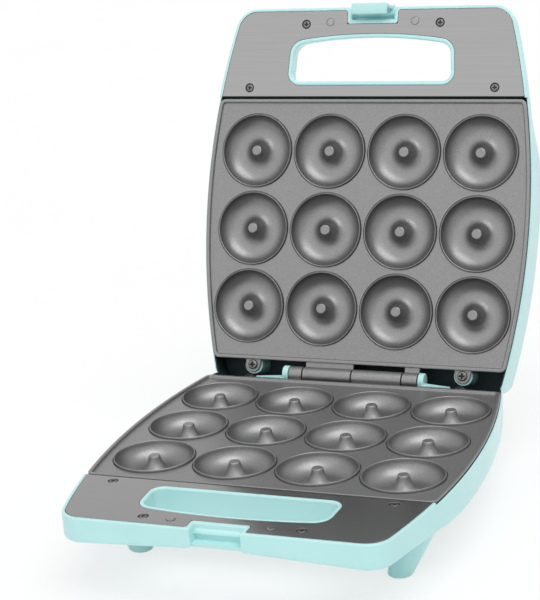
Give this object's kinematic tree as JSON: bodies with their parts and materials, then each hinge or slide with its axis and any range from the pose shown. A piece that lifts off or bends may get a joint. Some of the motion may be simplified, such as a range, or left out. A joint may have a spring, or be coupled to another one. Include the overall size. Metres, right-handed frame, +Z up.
{
  "type": "donut maker",
  "caption": "Clamshell electric donut maker with ring cavities in hinged non-stick plates, moulded shells, hand-hole handles, a front latch and short legs.",
  "frame": {"origin": "centre of the bounding box at the plane of the feet, lid open", "axes": "+Z up, +Y towards the hinge and the back, +X to the right seen from the handle"},
  "size_m": [0.2482, 0.376, 0.3197],
  "materials": {
    "mint_plastic": "smooth moulded gloss",
    "nonstick_aluminium": "dark satin non-stick coating",
    "brushed_plate": "fine brushed",
    "dark_screw": "blackened, satin",
    "bright_screw": "zinc plated",
    "hinge_steel": "turned",
    "foot_rubber": "matte",
    "element_tube": "heat tinted",
    "ceramic": "matte ceramic",
    "reflector_sheet": "bright rolled sheet",
    "thermostat_body": "dark phenolic",
    "fuse_case": "bare",
    "block_plastic": "natural nylon",
    "bushing_rubber": "matte",
    "red_lens": "clear tinted",
    "green_lens": "clear tinted",
    "lamp_glass": "clear"
  },
  "bodies": {
    "base": {"base_shell": "mint_plastic", "foot_pads": "foot_rubber", "lower_cooking_plate": "nonstick_aluminium", "lower_plate_screws": "dark_screw", "lower_heating_element": "element_tube", "lower_element_terminals": "ceramic", "lower_reflector": "reflector_sheet", "lower_reflector_screws": "bright_screw", "lower_thermostat": "thermostat_body", "lower_thermostat_screws": "bright_screw", "thermal_fuse": "fuse_case", "fuse_clip": "reflector_sheet", "terminal_block": "block_plastic", "terminal_block_screws": "bright_screw", "cord_bushing": "bushing_rubber", "base_handle_plate": "brushed_plate", "base_handle_screws": "dark_screw", "hinge_pin": "hinge_steel", "pin_clips": "hinge_steel"},
    "lid": {"lid_shell": "mint_plastic", "upper_cooking_plate": "nonstick_aluminium", "upper_plate_screws": "dark_screw", "upper_heating_element": "element_tube", "upper_element_terminals": "ceramic", "upper_reflector": "reflector_sheet", "upper_reflector_screws": "bright_screw", "upper_thermostat": "thermostat_body", "upper_thermostat_screws": "bright_screw", "lid_handle_plate": "brushed_plate", "lid_handle_screws": "dark_screw", "power_lens": "red_lens", "ready_lens": "green_lens", "indicator_lamps": "lamp_glass", "latch_pin": "hinge_steel"},
    "latch": {"latch_clip": "mint_plastic"}
  },
  "joints": [
    {"name": "lid_hinge", "type": "hinge", "parent": "base", "child": "lid", "pos_m": [0, 0.08308, 0.057], "axis": [1, 0, 0], "range_deg": [0, 109.6]},
    {"name": "latch_hinge", "type": "hinge", "parent": "lid", "child": "latch", "pos_m": [0, 0.18032, 0.30622], "axis": [-1, 0, 0], "range_deg": [-4, 25]}
  ]
}
